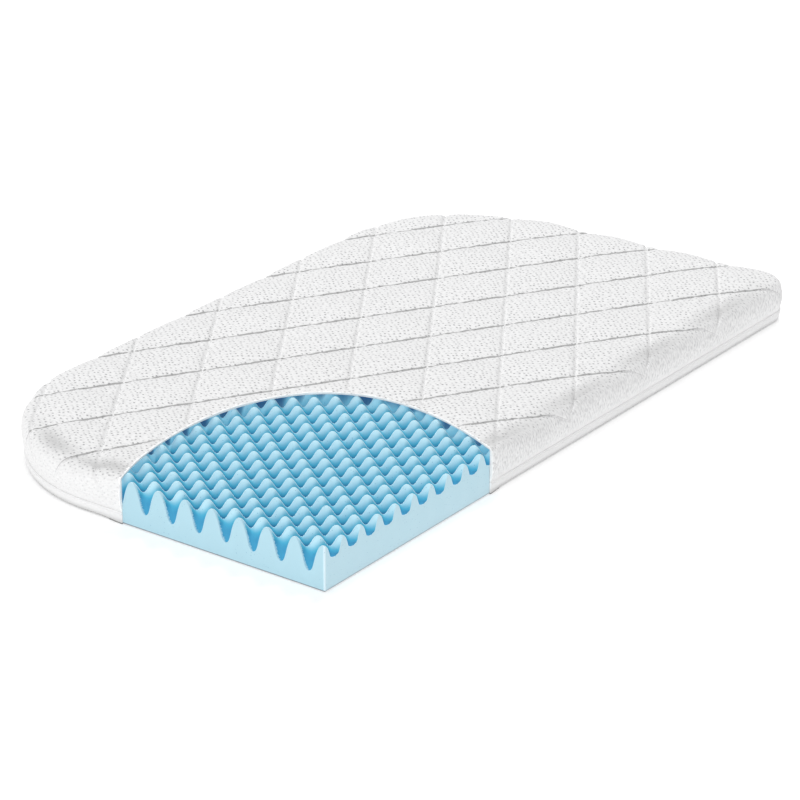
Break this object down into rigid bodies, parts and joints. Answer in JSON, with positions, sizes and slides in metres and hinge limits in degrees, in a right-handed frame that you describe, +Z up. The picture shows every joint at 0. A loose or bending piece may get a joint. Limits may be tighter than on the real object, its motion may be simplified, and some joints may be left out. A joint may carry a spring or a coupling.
{
  "type": "bedside crib mattress",
  "caption": "White quilted crib mattress, straight on one long side and round at the far corners, its cover cut away at one corner to show a blue egg-crate foam core.",
  "frame": {"origin": "middle of the mattress's bounding box, on the surface that it lies on", "axes": "+X along the straight long side, away from the opened corner; +Y towards the long side with the large round corners; +Z up"},
  "size_m": [0.8856, 0.49, 0.0538],
  "materials": {
    "quilted_knit": "matt white jersey knit with small staggered dimples, quilted in diamonds over wadding",
    "plain_knit": "matt smooth white knit",
    "blue_foam": "matt open-cell foam in light blue with fine pores"
  },
  "bodies": {
    "root": {"quilted_cover": "quilted_knit", "base_cover": "plain_knit", "foam_core": "blue_foam"}
  },
  "joints": []
}
